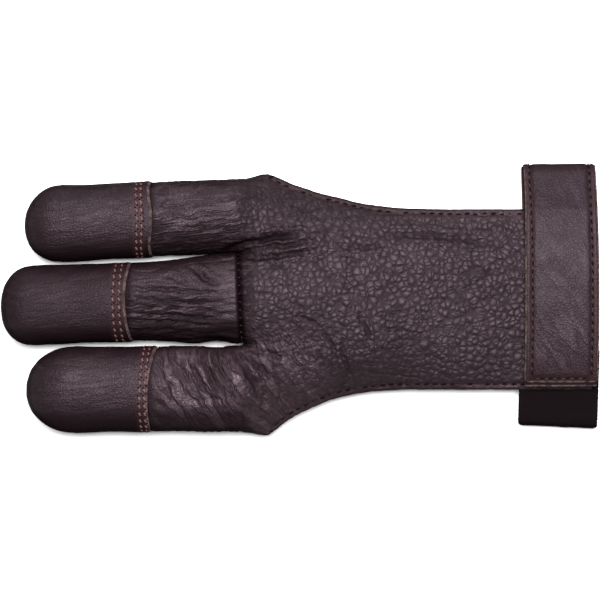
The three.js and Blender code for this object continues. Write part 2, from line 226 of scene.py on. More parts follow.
wristStart = back["length"] - loop["strapWidth"]


def crownHeight(x):
    share = clamp(x / wristStart) ** back["crownEase"]
    return lerp(middle["height"], back["wristCrown"], share)


def edgeHeight(x):
    if x < back["cornerReach"]:
        return lerp(ring["height"] / 2, back["cornerHeight"], smoothstep(x, 0, back["cornerReach"]))
    return lerp(back["cornerHeight"], back["wristEdge"], smoothstep(x, back["cornerReach"], wristStart))


# Broad hollows: place along and across the panel as shares, their reach, and their depth
hollows = [
    (0.16, 0.34, 0.13, 0.2, 0.055),
    (0.13, -0.36, 0.11, 0.2, 0.06),
    (0.45, 0.05, 0.16, 0.45, 0.04),
]


def archPoint(x, across):
    ringY, indexY = edgeY(edges["ring"], x), edgeY(edges["index"], x)
    low, high = edgeHeight(x), crownHeight(x)
    z = low + (high - low) * (1 - abs(across) ** archRoundness)
    for along, aside, reachX, reachY, depth in hollows:
        fall = hill(x / back["length"] - along, reachX) * hill(across - aside, reachY)
        z -= depth * middle["height"] * fall
    return Vector((x, (ringY + indexY) / 2 + across * (ringY - indexY) / 2, z))


# A point on the finger seam, at a pattern column: ring finger, then middle, then index finger
def seamPoint(column):
    if column <= half:
        return sleevePoint(ring, 0, column * math.pi / half)
    if column >= turn:
        return sleevePoint(index, 0, (column - turn) * math.pi / half)
    height = middle["height"] - hand["sleeveFloor"]
    size = (middle["rootWidth"] + 2 * leather["gap"], height, hand["sleeveFloor"])
    return sectionPoint(0, middle["rootY"], size, (column - half) * math.pi / half)


topColumns = 3 * half
seamStops = [seamPoint(step / fine) for step in range(topColumns * fine + 1)]
seamLengths = [0]
for before, after in zip(seamStops, seamStops[1:]):
    seamLengths.append(seamLengths[-1] + (after - before).length)


# How far across the arch a column lies, from 1 on the ring finger's side to -1
def acrossOf(column):
    step = clamp(column, 0, topColumns) * fine
    low = min(int(step), len(seamLengths) - 2)
    length = lerp(seamLengths[low], seamLengths[low + 1], step - low)
    return 1 - 2 * length / seamLengths[-1]


def backPoint(x, column):
    finger = ring if column < turn else index
    if x < 0:
        return sleevePoint(finger, x, (column - (0 if finger is ring else turn)) * math.pi / half)
    seam = seamPoint(column)
    if 0 <= column <= topColumns:
        arch = archPoint(x, acrossOf(column))
        flat = 1 - (1 - clamp(x / back["valleyLength"])) ** 3
        return Vector((x, lerp(seam.y, arch.y, flat), lerp(seam.z, arch.z, flat)))
    edge = edges["ring"] if column < 0 else edges["index"]
    share = smoothstep(x, 0, back["cornerReach"])
    lowered = lerp(1, 2 * back["cornerHeight"] / finger["height"], share)
    return Vector((x, seam.y + edge["side"] * edge["flare"] * share, seam.z * lowered))


# The finger seam leans, and the leather near it leans with it
def seamLean(x, column):
    share = smoothstep(column, half, turn) * (1 - smoothstep(column, turn, turn + half * 0.7))
    return hand["seamLean"] * share * hill(x, 9)


# A socket of a material, so that shader maths is written as plain sums
class Shade:
    def __init__(self, paint, socket):
        self.paint = paint
        self.socket = socket

    def __add__(self, other):
        return self.paint.maths("ADD", self, other)

    def __radd__(self, other):
        return self.paint.maths("ADD", other, self)

    def __sub__(self, other):
        return self.paint.maths("SUBTRACT", self, other)

    def __rsub__(self, other):
        return self.paint.maths("SUBTRACT", other, self)

    def __mul__(self, other):
        return self.paint.maths("MULTIPLY", self, other)

    def __rmul__(self, other):
        return self.paint.maths("MULTIPLY", other, self)


# Gloss fades as a surface turns away from sight: where that starts and ends, and how much goes
fade = {"start": 0.1, "end": 0.5, "most": 0.88}


class Paint:
    def __init__(self, name):
        self.material = bpy.data.materials.new(name)
        self.material.use_nodes = True
        self.tree = self.material.node_tree
        self.tree.nodes.clear()

    def node(self, kind, settings=None, sockets=None, output=0):
        made = self.tree.nodes.new(kind)
        for name, value in (settings or {}).items():
            if name == "stops":
                ramp = made.color_ramp
                for spare in value[2:]:
                    ramp.elements.new(spare[0])
                for element, (place, shade) in zip(ramp.elements, value):
                    element.position = place
                    element.color = (shade, shade, shade, 1)
            else:
                setattr(made, name, value)
        for name, value in (sockets or {}).items():
            if isinstance(value, Shade):
                self.tree.links.new(value.socket, made.inputs[name])
            else:
                made.inputs[name].default_value = value
        return Shade(self, made.outputs[output]) if made.outputs else None

    def maths(self, operation, first, second=0.0):
        return self.node("ShaderNodeMath", {"operation": operation}, {0: first, 1: second})

    def vector(self, operation, first, second, output=0):
        sockets = {0: first, 1: second}
        return self.node("ShaderNodeVectorMath", {"operation": operation}, sockets, output)

    def blend(self, share, first, second):
        return self.node("ShaderNodeMix", {"data_type": "RGBA"}, {0: share, 6: first, 7: second}, 2)

    def curve(self, value, *stops):
        return self.node("ShaderNodeValToRGB", {"stops": stops}, {0: value})

    def attribute(self, name):
        return self.node("ShaderNodeAttribute", {"attribute_name": name}, output=2)

    # Object coordinates in millimetres, stretched and shaken a little
    def place(self, stretch=(1, 1, 1), shake=0, shakeSize=4):
        spot = self.node("ShaderNodeTexCoord", output=3)
        spot = self.vector("MULTIPLY", spot, tuple(1000 * value for value in stretch))
        if shake:
            wave = self.noise(spot, shakeSize, detail=2, output=1)
            wave = self.vector("SUBTRACT", wave, (0.5, 0.5, 0.5))
            spot = self.vector("ADD", spot, self.vector("MULTIPLY", wave, (shake, shake, shake)))
        return spot

    def noise(self, spot, size, detail=4, rough=0.55, output=0):
        sockets = {"Vector": spot, "Scale": 1 / size, "Detail": detail, "Roughness": rough}
        return self.node("ShaderNodeTexNoise", None, sockets, output)

    def cells(self, spot, size, feature="DISTANCE_TO_EDGE"):
        sockets = {"Vector": spot, "Scale": 1 / size}
        return self.node("ShaderNodeTexVoronoi", {"feature": feature}, sockets)

    # Thin valleys and broad waves that run at an angle, in degrees, seen from above
    def streaks(self, angle, length, width):
        way = (math.cos(math.radians(angle)), math.sin(math.radians(angle)))
        spot = self.place(shake=2.5, shakeSize=5)
        along = self.vector("DOT_PRODUCT", spot, (way[0] / length, way[1] / length, 0), 1)
        across = (-way[1] / width, way[0] / width, 0.4 / width)
        across = self.vector("DOT_PRODUCT", spot, across, 1)
        turned = self.node("ShaderNodeCombineXYZ", None, {0: along, 1: across})
        waves = self.noise(turned, 1, detail=3, rough=0.5)
        crest = self.maths("ABSOLUTE", waves - 0.47)
        return self.curve(crest, (0.0, 1.0), (0.07, 0.0)), waves - 0.5

    def bump(self, height, depth):
        sockets = {"Strength": 1.0, "Distance": depth * mm, "Height": height}
        return self.node("ShaderNodeBump", None, sockets)

    # A surface whose gloss fades where it is seen edge on, and where fold shade is painted
    def finish(self, colour, roughness, normal, foldShade=0.0, **constant):
        sockets = {"Base Color": colour, "Roughness": roughness, "Normal": normal}
        dull = self.node("ShaderNodeBsdfPrincipled", None, {**sockets, "Specular IOR Level": 0.0})
        sockets.update({name.replace("_", " "): value for name, value in constant.items()})
        glossy = self.node("ShaderNodeBsdfPrincipled", None, sockets)
        facing = self.node("ShaderNodeLayerWeight", None, {"Blend": 0.5}, 1)
        fading = self.curve(facing, (fade["start"], 0.0), (fade["end"], fade["most"]))
        fading = fading + (1 - fading) * foldShade
        surface = self.node("ShaderNodeMixShader", None, {0: fading, 1: glossy, 2: dull})
        self.node("ShaderNodeOutputMaterial", None, {"Surface": surface})
        return self.material


# A colour from its screen values
def screen(red, green, blue):
    return tuple((value / 255 / 12.92 if value < 11 else ((value / 255 + 0.055) / 1.055) ** 2.4)
                 for value in (red, green, blue)) + (1,)


colours = {
    "leather": screen(11, 5, 7),
    # Painted shade, in grain gaps, folds, creases and needle holes; also the thread's darker twist
    "groove": screen(7, 3, 4),
    # A paler tone at random, and the painted highlight on the pebble tops
    "high": screen(24, 17, 20),
    "stain": screen(26, 14, 14),
    "cut": screen(66, 53, 52),
    "thread": screen(86, 59, 59),
    "darkThread": screen(38, 21, 20),
    "flesh": screen(74, 54, 46),
    # The colour of the painted highlight on streak crests and pulled-down leather
    "paintedHighlight": screen(44, 34, 38),
    "black": screen(7, 4, 5),
    "rib": screen(8, 5, 6),
    "fuzz": screen(40, 34, 35),
}


# Leather with a pebbled grain. Pebble and crease sizes and the depth of the relief are in mm. Contrast
# is how much painted highlight the pebble tops get, and painted shade the gaps.
grains = {
    "grainLeather": {
        "pebble": 1.9, "depth": 0.36, "roughness": 0.44, "contrast": 0.8, "crease": 4.5, "creased": 0.35,
        "sheen": 0.134,
    },
    "smoothLeather": {
        "pebble": 1.7, "depth": 0.3, "roughness": 0.42, "contrast": 0.55, "crease": 6, "creased": 0.2,
        "sheen": 0.104,
    },
    "strapLeather": {
        "pebble": 1.8, "depth": 0.2, "roughness": 0.35, "contrast": 0.55, "crease": 7, "creased": 0.15,
        "sheen": 0.066,
    },
}
# What the leathers share: sizes in mm, and how strongly each layer shows
leatherLook = {
    "sheenTint": (1.0, 0.78, 0.9, 1),
    "cloudSize": 8,
    "creasePatches": 9,
    "poreSize": 0.3,
    "pores": 0.1,
    "alongStreaks": (8, 14, 1.5),  # angle seen from above, length and width
    "downStreaks": (-60, 15, 3.0),
    "downWaves": 1.4,
    "valleys": 1.2,
    "waves": 3.6,
    "paintedHighlight": 0.38,  # how much painted highlight leather that is pulled down gets, and how much smoother it is
    "wornShine": 0.11,
    "foldFade": 0.8,  # how much of the gloss goes where fold shade is painted
}

# What is painted on a leather's vertices, each from 0 to 1; fold is painted shade, in creases, seams and
# grooves and on low sides
leatherMarks = ("pebble", "fineGrain", "stain", "fold", "pulledAlong", "pulledDown")


def leatherMaterial(name):
    size, look, pebble = grains[name], leatherLook, grains[name]["pebble"]
    paint = Paint(name)
    marks = [paint.attribute(mark) for mark in leatherMarks]
    grain, fineGrain, stain, fold, pulledAlong, pulledDown = marks
    clouds = paint.noise(paint.place(), look["cloudSize"], detail=4, rough=0.6)
    patches = paint.curve(clouds, (0.3, 0.65), (0.6, 1.0))
    spot = paint.place(shake=pebble * 1.1, shakeSize=pebble * 2.5)
    domes = paint.cells(spot, pebble, "F1")
    domes = paint.curve(domes, (0.0, 1.0), (0.3, 0.75), (0.6, 0.2), (0.76, 0.0))
    gaps = paint.curve(paint.cells(spot, pebble), (0.0, 0.0), (0.12, 0.6), (0.35, 1.0))
    small = paint.curve(paint.cells(spot, pebble * 0.5, "F1"), (0.05, 1.0), (0.7, 0.0))
    smallGaps = paint.curve(paint.cells(spot, pebble * 0.5), (0.0, 0.0), (0.25, 1.0))
    large = domes * 0.55 + gaps * 0.35 + small * 0.1
    pebbles = large * (1 - fineGrain) + (small * 0.55 + smallGaps * 0.45) * fineGrain
    longSpot = paint.place((0.55, 1, 1), shake=3.5, shakeSize=3)
    lines = paint.curve(paint.cells(longSpot, size["crease"]), (0.0, 1.0), (0.13, 0.0))
    creased = paint.noise(longSpot, look["creasePatches"], detail=2)
    lines = lines * paint.curve(creased, (0.4, 0.0), (0.65, size["creased"]))
    pores = paint.noise(paint.place(), look["poreSize"], detail=3, rough=0.7)
    alongValleys, alongWaves = paint.streaks(*look["alongStreaks"])
    downValleys, downWaves = paint.streaks(*look["downStreaks"])
    pulled = pulledAlong * alongValleys + pulledDown * downValleys
    waves = pulledAlong * alongWaves + pulledDown * downWaves * look["downWaves"]
    height = grain * patches * pebbles * (1 - fineGrain * 0.45) - lines + pores * look["pores"]
    height = height - pulled * look["valleys"] + waves * look["waves"]
    normal = paint.bump(height, size["depth"])
    # Painted highlight: the pebble tops are paler
    pebbleHighlight = paint.maths("MULTIPLY", pebbles, grain * patches * size["contrast"])
    base = paint.blend(clouds * 0.2, colours["leather"], colours["high"])
    base = paint.blend(pebbleHighlight, base, colours["high"])
    # Painted shade: the gaps between the pebbles are darker
    low = (1 - pebbles) * grain * size["contrast"]
    base = paint.blend(low * 0.8, base, colours["groove"])
    # Painted shade in folds, crease lines and streak valleys: darker colour, and less gloss below
    foldShade = paint.maths("MAXIMUM", fold, paint.maths("MAXIMUM", lines, pulled * 0.5))
    base = paint.blend(foldShade, base, colours["groove"])
    # Painted highlight: paler colour on streak crests and on pulled-down leather
    crestHighlight = paint.curve(waves + 0.5, (0.5, 0.0), (0.66, 1.0)) * (1 - foldShade) * (0.3 + small * 0.7)
    paintedHighlight = crestHighlight + pulledDown * look["paintedHighlight"] * (1 - foldShade)
    base = paint.blend(paintedHighlight, base, colours["paintedHighlight"])
    base = paint.blend(stain * (0.35 + clouds * 1.1), base, colours["stain"])
    shine = size["roughness"] + (clouds - 0.5) * 0.12 + low * 0.3 - pebbleHighlight * 0.08 + pores * 0.05
    shine = shine + foldShade * 0.3 - waves * 0.7 - pulledDown * look["wornShine"]
    return paint.finish(base, shine, normal, foldShade * look["foldFade"],
                        Specular_IOR_Level=size["sheen"], Specular_Tint=look["sheenTint"])


def cutEdgeMaterial():
    paint = Paint("cutEdge")
    fibres = paint.noise(paint.place((1, 1, 3)), 0.5, detail=5, rough=0.7)
    patches = paint.noise(paint.place(), 2.2, detail=3)
    base = paint.blend(paint.curve(fibres, (0.35, 0.0), (0.65, 1.0)), colours["stain"], colours["cut"])
    base = paint.blend(paint.curve(patches, (0.4, 0.0), (0.62, 0.85)), base, colours["leather"])
    return paint.finish(base, 0.75 + fibres * 0.15, paint.bump(fibres, 0.3), Specular_IOR_Level=0.12)


def fleshMaterial():
    paint = Paint("fleshSide")
    nap = paint.noise(paint.place(), 0.4, detail=6, rough=0.75)
    patches = paint.noise(paint.place(), 12, detail=3)
    base = paint.blend(nap, colours["stain"], colours["flesh"])
    base = paint.blend(patches * 0.5, base, colours["stain"])
    return paint.finish(base, 0.85 + nap * 0.1, paint.bump(nap, 0.2), Specular_IOR_Level=0.1)


def threadMaterial(name):
    paint = Paint(name)
    twist = paint.node("ShaderNodeTexWave", {"bands_direction": "DIAGONAL"},
                       {"Vector": paint.place(), "Scale": 1.1, "Distortion": 1.0})
    shade = paint.noise(paint.place(), 1.5, detail=2)
    base = paint.blend(twist * 0.6 + 0.4, colours["groove"], colours[name])
    base = paint.blend(shade * 0.4, base, colours["groove"])
    return paint.finish(base, 0.5 + shade * 0.2, paint.bump(twist, 0.08), Specular_IOR_Level=0.2)


# Painted shade of the needle holes, put on small dark beads
def holeShadeMaterial():
    paint = Paint("holeShade")
    shadeNoise = paint.noise(paint.place(), 0.5)
    base = paint.blend(shadeNoise, colours["black"], colours["groove"])
    return paint.finish(base, 0.9 + shadeNoise * 0.1, paint.bump(shadeNoise, 0.05), Specular_IOR_Level=0.02)


def elasticMaterial():
    paint = Paint("elasticWebbing")
    along, across = paint.attribute("along"), paint.attribute("across")
    ribs = paint.maths("ABSOLUTE", paint.maths("SINE", across * (math.pi / 0.75)))
    picks = paint.maths("ABSOLUTE", paint.maths("SINE", along * (math.pi / 0.5)))
    weave = ribs * 0.6 + picks * 0.4 + paint.noise(paint.place(), 0.4) * 0.5
    base = paint.blend(weave, colours["black"], colours["rib"])
    return paint.finish(base, 0.9 + weave * 0.1, paint.bump(weave, 0.25), Specular_IOR_Level=0.02)


def tapeMaterial():
    paint = Paint("hookTape")
    hooks = paint.cells(paint.place(), 0.8, "F1")
    fuzz = paint.noise(paint.place(), 0.3, detail=5)
    base = paint.blend(fuzz, colours["black"], colours["fuzz"])
    return paint.finish(base, 0.85 + fuzz * 0.1, paint.bump(hooks + fuzz, 0.3))


def floorMaterial():
    paint = Paint("paleFloor")
    speck = paint.noise(paint.place(), 60, detail=2)
    base = paint.blend(speck, (0.55, 0.55, 0.55, 1), (0.57, 0.57, 0.57, 1))
    return paint.finish(base, 0.7 + speck * 0.05, paint.bump(speck, 0.01), Specular_IOR_Level=0.1)


leathers = {
    "grain_leather": leatherMaterial("grainLeather"),
    "smooth_leather": leatherMaterial("smoothLeather"),
    "strap_leather": leatherMaterial("strapLeather"),
}
cutEdge, fleshSide = cutEdgeMaterial(), fleshMaterial()
thread, darkThread = threadMaterial("thread"), threadMaterial("darkThread")
holeShade = holeShadeMaterial()
elasticWebbing = elasticMaterial()
print("materials made")


# A flat grid between two corners of a pattern
def addPattern(bm, low, high, rows, columns):
    centre = Matrix.Translation(((low[0] + high[0]) / 2, (low[1] + high[1]) / 2, 0))
    size = Matrix.Diagonal(((high[0] - low[0]) / 2, (high[1] - low[1]) / 2, 1, 1))
    made = bmesh.ops.create_grid(bm, x_segments=rows, y_segments=columns, size=1, matrix=centre @ size)
    return made["verts"]


# Cuts a pattern along a line, and takes away what lies on its left
def cutPattern(bm, verts, start, end):
    way = Vector(end) - Vector(start)
    faces = {face for vert in verts for face in vert.link_faces}
    lines = {line for vert in verts for line in vert.link_edges}
    bmesh.ops.bisect_plane(
        bm, geom=list(verts) + list(lines) + list(faces), dist=1e-4, plane_co=(*start, 0),
        plane_no=(-way.y, way.x, 0), clear_outer=True,
    )


def bendPattern(bm, pointAt):
    layers = {name: bm.verts.layers.float.new(name) for name in ("along", "across")}
    for vert in bm.verts:
        vert[layers["along"]], vert[layers["across"]] = vert.co.x, vert.co.y
        vert.co = pointAt(vert.co.x, vert.co.y)
    bmesh.ops.remove_doubles(bm, verts=bm.verts, dist=0.01)
    bmesh.ops.recalc_face_normals(bm, faces=bm.faces)
    topFace = max(bm.faces, key=lambda face: face.calc_center_median().z)
    if topFace.normal.z < 0:
        bmesh.ops.reverse_faces(bm, faces=bm.faces)
    for line in bm.edges:
        if line.is_boundary:
            line.smooth = False
    bm.normal_update()


# Moves the leather along its normals, and paints where it is pebbled and stained, and where it gets
# painted shade in folds and on low sides
def dressLeather(bm, reliefAt):
    along, across = bm.verts.layers.float["along"], bm.verts.layers.float["across"]
    paints = {name: bm.verts.layers.float.new(name) for name in leatherMarks}
    moves = []
    for vert in bm.verts:
        rise, marks = reliefAt(vert, vert[along], vert[across])
        moves.append((vert, vert.normal * rise))
        for name, value in marks.items():
            vert[paints[name]] = value
    for vert, move in moves:
        vert.co += move
    bm.normal_update()


def meshFrom(bm, name):
    mesh = bpy.data.meshes.new(name)
    bm.to_mesh(mesh)
    bm.free()
    return mesh


def addObject(name, data):
    made = bpy.data.objects.new(name, data)
    bpy.context.scene.collection.objects.link(made)
    return made


lowest = 0.02  # how far above the floor the lowest leather stays


def finishPiece(bm, name, materials, replaced=None, thickness=0):
    for vert in bm.verts:
        vert.co.z = max(vert.co.z, lowest)
    bmesh.ops.translate(bm, verts=bm.verts, vec=(rootX, middleY, 0))
    bmesh.ops.scale(bm, verts=bm.verts, vec=(mm, mm, mm))
    mesh = meshFrom(bm, name)
    mesh.shade_smooth()
    piece = addObject(name, mesh)
    for material in materials:
        mesh.materials.append(material)
    if thickness:
        wall = piece.modifiers.new("thickness", "SOLIDIFY")
        wall.thickness = thickness * mm
        wall.offset = -1
        wall.material_offset = 1
        wall.material_offset_rim = 2
    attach(piece, "root")
    if replaced:
        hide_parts(replaced)


# Dresses and finishes a piece of leather, and hands back a tree of its face for the stitches
def finishLeather(bm, name, reliefAt, slot, replaced, thickness):
    dressLeather(bm, reliefAt)
    tree = BVHTree.FromBMesh(bm)
    finishPiece(bm, name, (leathers[slot], fleshSide, cutEdge), replaced, thickness)
    return tree


# Creases in the leather, seen from above: start, end, sideways bend, depth and width
creases = [
    ((-4, 15.0), (19.8, 20.0), 1.1, 2.2, 1.3),
    ((1.5, 16.5), (15.6, 19.7), 0.3, 1.1, 0.8),
    ((0.5, 14.9), (24, 17.9), 0.6, 1.5, 1.0),
    ((2.2, 12.9), (24.6, 15.5), -0.5, 1.1, 0.8),
    ((45, 20.3), (84, 15.5), 2.0, 0.8, 1.2),
    ((30, 17.5), (47, 17), -0.8, 0.7, 1.0),
    ((-8.5, -16.5), (-2, -26.1), -0.8, 1.7, 1.1),
    ((-11.8, -16.5), (-3.6, -30.9), -1.2, 1.9, 1.1),
    ((-1, -17), (7, -31.5), 0.6, 1.8, 1.2),
    ((1.5, -17), (12.4, -26.1), -0.6, 1.6, 1.0),
    ((-14.5, -18), (-9, -31.9), -1.4, 1.2, 0.9),
    ((-20, -18), (-17, -29), 0.6, 0.8, 0.9),
    ((-25, -18), (-24, -27), -0.5, 0.6, 0.8),
    ((-27.6, -31.9), (-23.5, -35.7), 0.3, 1.0, 0.8),
    ((-16, -33), (-1, -32), 0.6, 0.9, 0.8),
    ((4.6, -16.4), (15.6, -19.4), 0.4, 1.2, 1.0),
    ((6, -23.5), (7, -36.3), 1.8, 1.2, 0.9),
    ((11, -22), (13, -34), 1.0, 0.8, 0.8),
    ((27, -11), (31, -20), 0.8, 0.9, 0.7),
    ((33, -14), (36, -25), -0.8, 0.9, 0.7),
    ((24, -16), (27, -24), 0.6, 0.8, 0.7),
    ((38, -4), (42, -14), 0.6, 0.7, 0.7),
    ((18, -4), (26, -9), -0.6, 0.7, 0.7),
    ((-34, 2.9), (-7, 1.4), 0.5, 0.9, 0.7),
    ((-33, 0.1), (-5, -1.2), -0.6, 1.1, 0.8),
    ((-34, -2.4), (-8, -3.6), 0.5, 1.1, 0.8),
    ((-33, -4.7), (-6, -6), -0.4, 1.0, 0.8),
    ((-34, -7.2), (-9, -9), 0.5, 0.9, 0.7),
    ((-14.5, 10), (-6.8, 4.3), -0.6, 1.1, 1.0),
    ((-24, 6.5), (-15, 4), 0.5, 0.5, 0.8),
]
# Distance between a crease's points, how far it sways, the lips beside it, and the painted shade along
# it
creaseLook = {"step": 0.4, "sway": 0.9, "lip": 0.35, "dark": 0.38, "reach": 3}
creaseSpots = []
for (startX, startY), (endX, endY), bend, depth, width in creases:
    way = Vector((endX - startX, endY - startY))
    steps = int(way.length / creaseLook["step"])
    aside = Vector((-way.y, way.x)).normalized()
    for step in range(steps + 1):
        share = step / steps
        sway = noise.noise((startX + step * 0.16, startY, depth * 9)) * creaseLook["sway"]
        spot = Vector((startX, startY)) + way * share + aside * (bend * 4 * share * (1 - share) + sway)
        ease = math.sqrt(math.sin(math.pi * (0.04 + 0.92 * share)))
        creaseSpots.append((spot, depth * ease, width))
creaseTree = KDTree(len(creaseSpots))
for number, (spot, depth, width) in enumerate(creaseSpots):
    creaseTree.insert((spot.x, spot.y, 0), number)
creaseTree.balance()


# How far the creases lower the leather at a place, and how much painted shade they give it there
def creaseAt(x, y):
    valley, lip, fold = 0, 0, 0
    for _, number, distance in creaseTree.find_range((x, y, 0), creaseLook["reach"]):
        _, depth, width = creaseSpots[number]
        valley = max(valley, depth * hill(distance, width))
        lip = max(lip, creaseLook["lip"] * depth * hill(distance - 2 * width, width))
        # Painted shade along the crease's valley
        fold = max(fold, creaseLook["dark"] * depth * hill(distance, width * 0.7))
    return lip - valley, clamp(fold)


# Thin valleys between broad ridges, from a stretched noise
def wrinkle(x, y, z, size):
    value = noise.noise((x / size[0], y / size[1], z / 7))
    return -hill(value, 0.09)


# A groove along a line of stitches, at a distance from it
def stitchGroove(distance, depth=0.28, width=0.8):
    return -depth * hill(distance, width)


def edgeDistance(x, y):
    return min(edgeY(edges["ring"], x) - y, y - edgeY(edges["index"], x))


# Relief of the back and the sleeves, in mm, and how much painted shade their folds and low sides get
relief = {
    "wrinkles": (0.16, 0.14),  # on the back, along it and across
    "indexPull": 0.45,
    "ringSlack": 0.2,
    "middleSlack": 0.35,
    "middleWrinkles": 0.14,
    "hemDepth": 0.3,
    "lowSideShade": 0.9,  # painted shade along the low side of the ring and index sleeves
    "middleLowSideShade": 0.8,
    "capEdgeShade": 0.75,  # painted shade where a sleeve meets its cap
    "swell": 0.17,  # how far the ring and middle sleeves swell towards each other
    "swellStart": -13,
    "swellEnd": -7,
    "hollowPlace": -7.5,  # where the middle and index sleeves lie back from each other
    "hollowReach": 5,
    "indexHollow": 0.6,
    "middleHollow": 0.9,
}


# How far a side that faces the next finger swells beside the crotch
def swellAt(spot, facing):
    toCrotch = smoothstep(spot.x, relief["swellStart"], relief["swellEnd"])
    return relief["swell"] * smoothstep(facing, 0.6, 0.9) * toCrotch


# How far such a side lies back, with none of it at the seam
def hollowAt(spot, facing, fromSeam, depth):
    near = hill(spot.x - relief["hollowPlace"], relief["hollowReach"])
    return depth * smoothstep(facing, 0.6, 0.9) * near * smoothstep(fromSeam, 2, 5)


def backRelief(vert, x, column):
    spot = vert.co
    onRing = column < turn
    finger = ring if onRing else index
    up = smoothstep(vert.normal.z, 0, 0.5)
    crease, fold = creaseAt(spot.x, spot.y)
    onPanel = smoothstep(x, -2, 2)
    broad = noise.noise(spot / 17) * 0.5 + noise.noise(spot / 7) * 0.25
    lines = wrinkle(spot.x, spot.y, spot.z, (9, 2.6)) * relief["wrinkles"][0]
    lines += wrinkle(spot.y, spot.x, 9, (11, 3.4)) * relief["wrinkles"][1]
    if x < 4 and column > turn:
        pulled = smoothstep(spot.x, -32, -6) * (1 - smoothstep(spot.x, 0, 4))
        bands = noise.noise(((spot.x + spot.y * 0.35) / 1.7, spot.y / 9, 2))
        lines += relief["indexPull"] * pulled * bands
    elif x < 0:
        bands = noise.noise((spot.x / 8, spot.y / 1.4, 2))
        lines += relief["ringSlack"] * bands * (1 - smoothstep(spot.x, -8, 0))
    rise = crease * up + broad * (0.4 + 0.6 * onPanel) + lines
    inSeam = smoothstep(column, half, half + 0.7) * (1 - smoothstep(column, turn - 0.7, turn))
    plain = 0.75 * hill(x, 3.5) * inSeam
    stain = 0
    if x > 0:
        margin = edgeDistance(spot.x, spot.y)
        pastCorner = smoothstep(x, 6, 10)
        rise += stitchGroove(margin - back["stitchInset"]) * smoothstep(x, 4, 10)
        stain = 0.35 * hill(margin - back["stitchInset"], 0.9) * pastCorner
        rise -= relief["hemDepth"] * hill(margin, 0.4) * pastCorner
        plain = max(plain, 0.5 * (1 - smoothstep(margin, 1, 4.5)) * smoothstep(x, 1, 9))
        # Painted shade along the rolled hem
        fold = max(fold, 0.3 * hill(margin, 1) * smoothstep(x, 6, 12))
    if x >= 0:
        rise += inSeam * (0.2 * hill(x - 2, 0.8) - hand["seamDepth"] * hill(x, hand["seamWidth"]))
        # Painted shade in the finger seam
        fold = max(fold, inSeam * hill(x, 0.7))
    # Painted shade on the sleeve just beyond its cap's edge
    fold = max(fold, relief["capEdgeShade"] * hill(x + finger["capEdge"], 1.4))
    # Painted shade on a finger's low side, away from the light
    shadedLowSide = smoothstep(lineY(finger, spot.x) - spot.y, 3, 9) * (1 - smoothstep(x, -2, 8))
    fold = max(fold, relief["lowSideShade"] * shadedLowSide)
    if onRing and x < 1:
        rise += swellAt(spot, -vert.normal.y)
    elif x < 0:
        rise -= hollowAt(spot, vert.normal.y, -x, relief["indexHollow"])
    corners = hill((spot.x - 2) / 13, 1) * smoothstep(spot.y, 29, 38)
    onSleeve = 1 - smoothstep(x, -3, 7)
    belowRing = -lineY(ring, spot.x)
    low = smoothstep(-spot.y, belowRing - 1, belowRing + 5)
    pulledDown = 0 if onRing else onSleeve * smoothstep(spot.x, -34, -16)
    beside = smoothstep(x, -3, 5) * (1 - smoothstep(x, 12, 38)) * smoothstep(-spot.y, 4, 14)
    marks = {
        "pebble": lerp(0.55, 1, onPanel) * (1 - plain) * (1 - 0.7 * corners),
        "fineGrain": 1 - smoothstep(x, -12, 2),
        "stain": stain,
        "fold": fold * 0.85,
        "pulledAlong": up * onSleeve * (0.25 + 0.75 * low) if onRing else 0.15 * onSleeve,
        # pulledDown brings streaks, and the painted highlight on them
        "pulledDown": smoothstep(vert.normal.z, 0.2, 0.85) * max(pulledDown, 0.5 * beside),
    }
    return rise, marks


# Mesh rows along each part of the back and along the middle sleeve, and where the panel is parted
meshRows = {"corner": 17, "panel": 72, "sleeve": 62, "middleSleeve": 90, "parting": 50}
# The leather at the finger roots is smoothed in steps, over less and less of its length
knuckles = {"steps": 30, "firstReach": 10, "lastReach": 4, "strength": 0.5}


def smoothKnuckles(bm):
    along = bm.verts.layers.float["along"]
    for step in range(knuckles["steps"]):
        reach = lerp(knuckles["firstReach"], knuckles["lastReach"], step / knuckles["steps"])
        near = [vert for vert in bm.verts if abs(vert[along]) < reach and not vert.is_boundary]
        bmesh.ops.smooth_vert(bm, verts=near, factor=knuckles["strength"], use_axis_x=True,
                              use_axis_y=True, use_axis_z=True)
    bm.normal_update()


# Gives the cut edge's material to the faces that lie beyond a place along the pattern
def showCutEdge(bm, place):
    along = bm.verts.layers.float["along"]
    for face in bm.faces:
        if min(vert[along] for vert in face.verts) > place:
            face.material_index = 2


def makeBack():
    bm = bmesh.new()
    corner, parting = back["cornerReach"], meshRows["parting"]
    near = addPattern(bm, (0, -half), (corner, topColumns + half), meshRows["corner"],
                      (topColumns + turn) * fine)
    cutPattern(bm, near, (corner, 0), (0, -half))
    near = [vert for vert in bm.verts if vert.is_valid]
    cutPattern(bm, near, (0, topColumns + half), (corner, topColumns))
    for start, end in ((corner, parting), (parting, back["length"])):
        addPattern(bm, (start, 0), (end, topColumns), meshRows["panel"], topColumns * fine)
    for finger, first in ((ring, -half), (index, turn)):
        start = -finger["capEdge"] - hand["tuckLength"]
        addPattern(bm, (start, first), (0, first + turn), meshRows["sleeve"], turn * fine)

    def pointAt(x, column):
        point = backPoint(x, column)
        point.x += seamLean(x, column)
        return point

    bendPattern(bm, pointAt)
    smoothKnuckles(bm)
    return finishLeather(bm, "backPiece", backRelief, "grain_leather", "back_panel", leather["back"])


